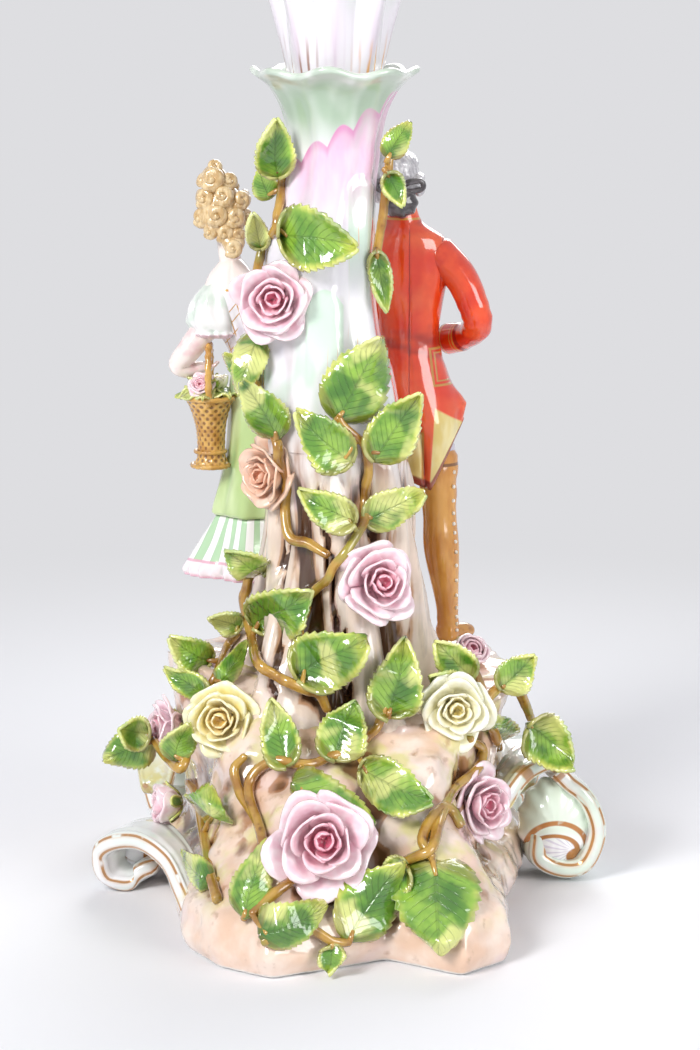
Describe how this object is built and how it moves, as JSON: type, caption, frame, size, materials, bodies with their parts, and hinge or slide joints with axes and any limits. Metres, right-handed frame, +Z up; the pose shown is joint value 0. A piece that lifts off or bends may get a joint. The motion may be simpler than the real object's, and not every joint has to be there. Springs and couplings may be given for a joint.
{
  "type": "figural porcelain centrepiece",
  "caption": "Porcelain centrepiece: a pierced bowl lifts off a rose-grown tree stand with a gallant and a shepherdess on a rock base.",
  "frame": {"origin": "on the table, under the axis of the collar and the bowl", "axes": "+Z up, +Y the way the two figures face, -Y the side with the largest roses, +X to the gallant"},
  "size_m": [0.2242, 0.2138, 0.4313],
  "materials": {
    "rock": "gloss",
    "bark": "gloss",
    "white": "gloss",
    "mint": "gloss",
    "leaf": "gloss",
    "pink": "gloss",
    "peach": "gloss",
    "cream": "gloss",
    "coat": "gloss",
    "lemon": "gloss",
    "skin": "gloss",
    "wig": "gloss",
    "ribbon": "gloss",
    "hair": "gloss",
    "lilac": "gloss",
    "gaiter": "gloss",
    "skirt": "gloss",
    "gold": "gloss",
    "cork": "matt cork"
  },
  "bodies": {
    "stand": {"rock_mound": "rock", "tree_trunk": "bark", "fluted_stem": "white", "lady_bodice": "white", "lady_left_sleeve": "white", "lady_right_sleeve": "white", "scalloped_collar": "mint", "scroll_foot_left": "mint", "scroll_foot_right": "mint", "scroll_foot_front_left": "mint", "scroll_foot_front_right": "mint", "basket_posy": "leaf", "briar_collar": "leaf", "briar_neck_right": "leaf", "briar_stem_left": "leaf", "briar_stem_right": "leaf", "briar_trunk_left": "leaf", "briar_trunk_foot": "leaf", "briar_base_left": "leaf", "briar_base_rear": "leaf", "briar_base_right": "leaf", "briar_right": "leaf", "briar_left": "leaf", "briar_front_left": "leaf", "briar_front_right": "leaf", "rose_stem": "pink", "rose_trunk": "pink", "rose_left": "pink", "rose_lower_left": "pink", "rose_lower_right": "pink", "bud_left": "pink", "bud_shoe": "pink", "rose_front": "pink", "rose_peach": "peach", "bud_right": "peach", "rose_yellow": "cream", "rose_cream": "cream", "man_coat": "coat", "man_right_sleeve": "coat", "man_left_sleeve": "coat", "man_waistcoat": "lemon", "man_right_hand": "skin", "man_left_hand": "skin", "man_head": "skin", "lady_left_arm": "skin", "lady_right_arm": "skin", "lady_head": "skin", "man_wig": "wig", "man_wig_bag": "ribbon", "lady_hair": "hair", "man_breeches": "lilac", "man_right_gaiter": "gaiter", "man_left_gaiter": "gaiter", "lady_overskirt": "skirt", "lady_underskirt": "skirt", "flower_basket": "gold"},
    "seat_ring": {"cork_bush": "cork"},
    "bowl": {"bowl_calyx": "white", "pierced_bowl": "white"}
  },
  "joints": [
    {"name": "bowl_turn", "type": "hinge", "parent": "stand", "child": "seat_ring", "pos_m": [0, 0, 0.2723], "axis": [0, 0, 1], "continuous": true},
    {"name": "bowl_lift", "type": "slide", "parent": "seat_ring", "child": "bowl", "axis": [0, 0, 1], "range_m": [0, 0.05]}
  ]
}
